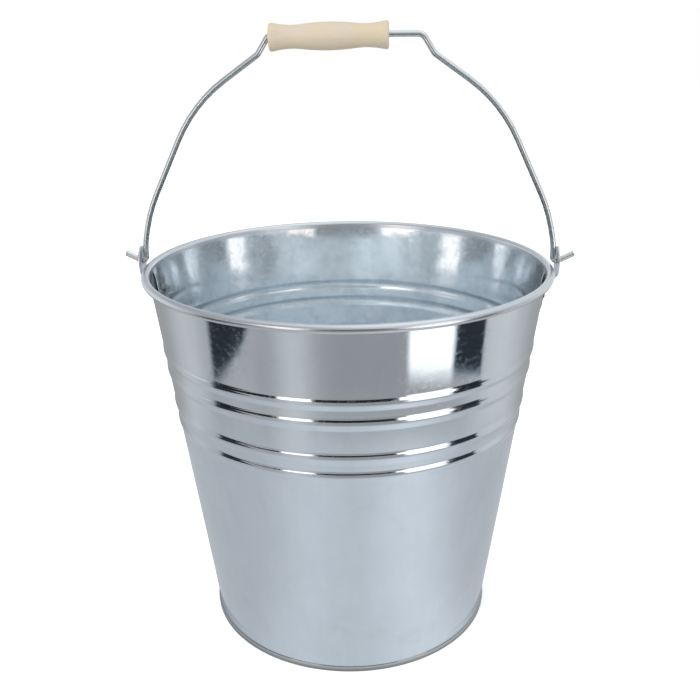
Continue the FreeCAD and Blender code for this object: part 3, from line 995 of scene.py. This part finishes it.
def dome_pattern():
    """Light tent: a dark strip and softboxes in front, pale at the sides and behind, darker on the left."""
    graph = glow("tent_light")
    azimuth, elevation, _, x = graph.directions()
    high = graph.ramp(x, -0.7 * DOME_RADIUS, 0.7 * DOME_RADIUS, *TENT_HIGH)
    level = graph.cover(graph.humps(azimuth, *TENT_LOW), high, graph.ramp(elevation, *TENT_TURN, 0.0, 1.0))
    level = graph.times(level, graph.ramp(elevation, *TENT_TOP))
    wide = graph.times(graph.window(azimuth, *WIDE_PANEL[0]), graph.window(elevation, *WIDE_PANEL[1]))
    level = graph.cover(level, graph.ramp(azimuth, *WIDE_LEVEL), wide)
    front = graph.times(graph.window(azimuth, *FRONT_PANEL[0]), graph.window(elevation, *FRONT_PANEL[1]))
    level = graph.cover(level, FRONT_LEVEL, front)
    strip = graph.window(elevation, *HORIZON, 0.8)
    dark = graph.times(graph.window(azimuth, -DARK_SIDES, DARK_SIDES, 5), strip)
    level = graph.cover(level, DARK_LEVEL, dark)
    lamps = 0.0
    for left, right, bottom, top, strength in FRONT_LAMPS:
        across = graph.window(azimuth, left, right, LAMP_SOFTNESS)
        lit = graph.times(across, graph.window(elevation, bottom, top, LAMP_SOFTNESS))
        level = graph.cover(level, strength, lit)
        lamps = graph.math("MAXIMUM", lit, lamps)
    graph.set("Strength", level)
    graph.set("Color", graph.mix(lamps, (0.94, 1.0, 1.045), (1.10, 1.0, 0.97)))
    return graph.material


def card(name, verts, faces, material, camera=False):
    """Part of the studio: seen in reflections only, or by the camera and diffuse light only."""
    obj = mesh_object(name, verts, faces)
    obj.data.materials.append(material)
    obj.visible_camera = camera
    obj.visible_diffuse = camera
    obj.visible_shadow = camera
    obj.visible_glossy = not camera
    obj.matrix_world = Matrix.Rotation(CAMERA_TURN, 4, "Z")
    return obj


def square(half, height):
    return [(x * half, y * half, height) for x, y in ((-1, -1), (1, -1), (1, 1), (-1, 1))]


def dome():
    """Sphere of light round the bucket, centred near the height of the ribs."""
    sides, rings = 64, 32
    verts = [(0, 0, -DOME_RADIUS)]
    for i in range(1, rings):
        rise = math.pi * (i / rings - 0.5)
        for k in range(sides):
            azimuth = 2 * math.pi * k / sides
            flat = DOME_RADIUS * math.cos(rise)
            verts.append((flat * math.cos(azimuth), flat * math.sin(azimuth), DOME_RADIUS * math.sin(rise)))
    top = len(verts)
    verts.append((0, 0, DOME_RADIUS))
    faces = grid_faces(rings - 1, sides, closed_columns=True, first=1)
    for k in range(sides):
        after = (k + 1) % sides
        faces += [(0, 1 + after, 1 + k), (top, top - sides + k, top - sides + after)]
    tent = card("light_tent", verts, faces, dome_pattern())
    tent.location.z = DOME_HEIGHT * MM


def studio():
    scene = bpy.context.scene
    scene.view_settings.view_transform = "Standard"
    world = bpy.data.worlds.new("world")
    scene.world = world
    world.use_nodes = True
    world.node_tree.nodes["Background"].inputs["Color"].default_value = (1.0, 1.0, 1.0, 1.0)
    world.node_tree.nodes["Background"].inputs["Strength"].default_value = 1.0
    world.cycles_visibility.glossy = False

    card("floor", square(FLOOR_HALF_WIDTH, FLOOR_HEIGHT), [(0, 1, 2, 3)], studio_floor(), camera=True)
    around = [math.radians(a) for a in range(0, 360, 6)]
    table = [(TABLE_RADIUS * math.cos(a), TABLE_RADIUS * math.sin(a), 0) for a in around]
    card("table_reflection", table, [tuple(range(len(table)))], table_pattern())
    dome()

    key = bpy.data.lights.new("key", "AREA")
    key.shape = "RECTANGLE"
    key.size, key.size_y = KEY_SIZE, KEY_SIZE
    key.energy = KEY_POWER
    key_object = bpy.data.objects.new("key", key)
    key_object.location = KEY_PLACE
    key_object.rotation_euler = (KEY_AIM - KEY_PLACE).to_track_quat("-Z", "Y").to_euler()
    key_object.visible_glossy = False
    scene.collection.objects.link(key_object)


# ---------------------------------------------------------------- assembly

def place(piece, body, nodes, material):
    """Gives a new piece its material and body, and hides the CAD nodes that it stands in for."""
    piece.data.materials.clear()
    piece.data.materials.append(material)
    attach(piece, body)
    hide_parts(*nodes)


add_camera()
studio()

sheet_zinc = zinc("galvanised_sheet", bright=SHEET_BRIGHT, dull=SHEET_DULL,
                  roughness=0.06, haze=0.045, ripple=0.05, finish=formed_sheet)
wire_zinc = zinc("galvanised_wire", bright=(0.74, 0.76, 0.76), dull=(0.68, 0.70, 0.70),
                 roughness=0.25, haze=0.02, ripple=0.001, finish=small_metal)
ear_zinc = zinc("galvanised_stamping", bright=(0.70, 0.74, 0.77), dull=(0.60, 0.64, 0.67),
                roughness=0.28, haze=0.05, ripple=0.005, finish=small_metal)
# painted shade: the rivet heads are coloured dark as if in shade
rivet_zinc_painted_shade = zinc("rivet_steel", bright=(0.24, 0.26, 0.28), dull=(0.19, 0.21, 0.23),
                  roughness=0.32, haze=0.03, ripple=0.002, finish=small_metal)
wood = beech("turned_wood")

front = wall_sheet("wall_front_sheet", SEAM_Y, rear=False)
back = wall_sheet("wall_rear_sheet", SEAM_Y + SEAM_GAP, rear=True)
back = join_pieces([back, hem_strip(1), hem_strip(-1)])
place(front, "bucket", ["wall_front"], sheet_zinc)
place(back, "bucket", ["wall_rear"], sheet_zinc)
place(bottom_pan(), "bucket", ["bottom_pan"], sheet_zinc)
for label, side in (("left", -1), ("right", 1)):
    ear = stamped_ear(f"ear_{label}_stamping", side)
    place(ear, "bucket", [f"ear_{label}"], ear_zinc)
    for end, y in (("front", -RIVET_Y), ("rear", RIVET_Y)):
        node = f"rivet_{label}_{end}"
        place(rivet(f"{node}_domed", side, y), "bucket", [node], rivet_zinc_painted_shade)
place(bail_tube(), "bail", ["bail_wire"], wire_zinc)
place(turned_grip(), "grip", ["wooden_grip"], wood)
rim_wire = frame["nodes"]["rim_wire"]
rim_wire.data.materials.clear()
rim_wire.data.materials.append(wire_zinc)
